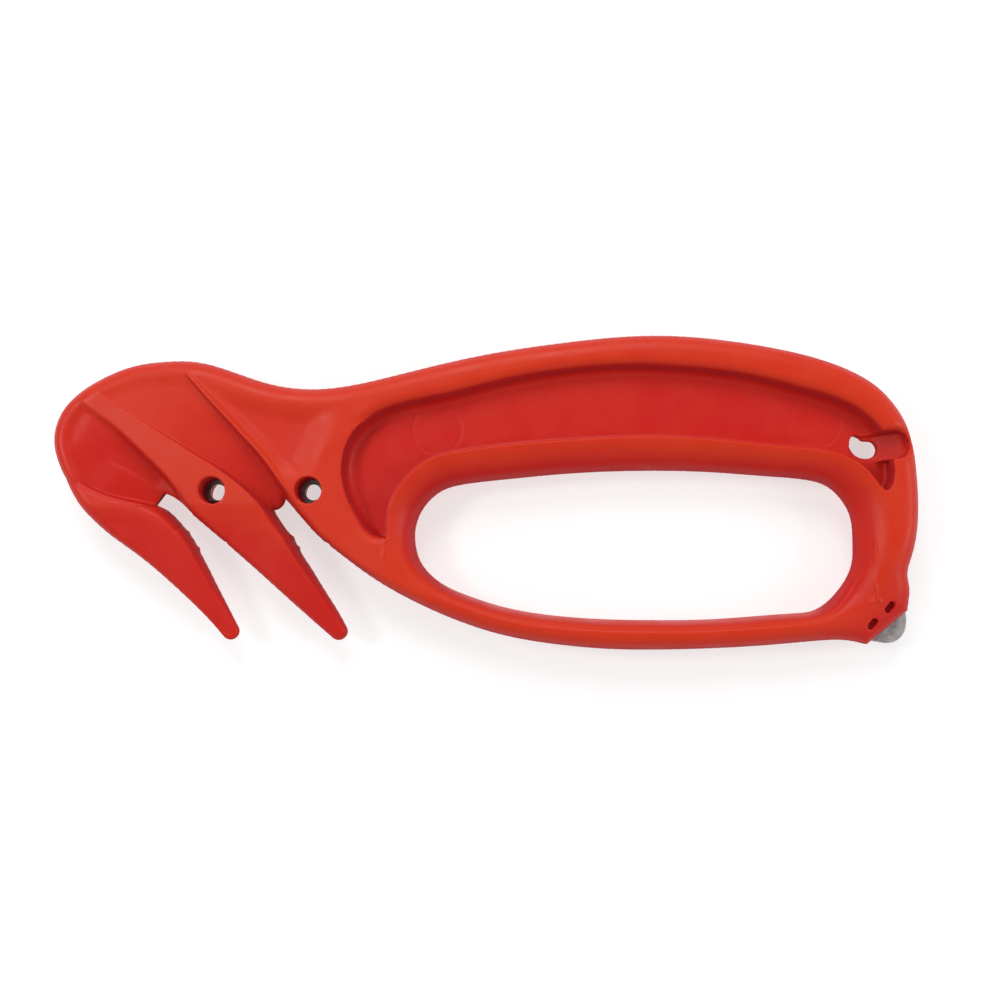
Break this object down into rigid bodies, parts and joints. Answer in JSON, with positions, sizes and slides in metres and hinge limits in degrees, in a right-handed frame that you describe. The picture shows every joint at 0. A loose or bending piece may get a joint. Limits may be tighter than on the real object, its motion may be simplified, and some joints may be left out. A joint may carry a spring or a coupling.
{
  "type": "hooked safety cutter",
  "caption": "Flat hook cutter: moulded body with a finger loop, a beaked head with guide tines and concealed hooked blades, a lanyard slot and a round-nosed steel tape splitter at the tail.",
  "frame": {"origin": "bottom centre of the bounding box: the cutter lies flat on its lower face", "axes": "+X along the cutter to the tail with the lanyard slot, +Y to the spine, +Z out of the upper face"},
  "size_m": [0.1938, 0.0704, 0.0135],
  "materials": {
    "body_plastic": "satin moulded polypropylene, orange red",
    "blade_steel": "ground carbon steel",
    "splitter_steel": "tumbled stainless steel"
  },
  "bodies": {
    "root": {"moulded_body": "body_plastic", "front_hook_blade": "blade_steel", "rear_hook_blade": "blade_steel", "tape_splitter": "splitter_steel"}
  },
  "joints": []
}
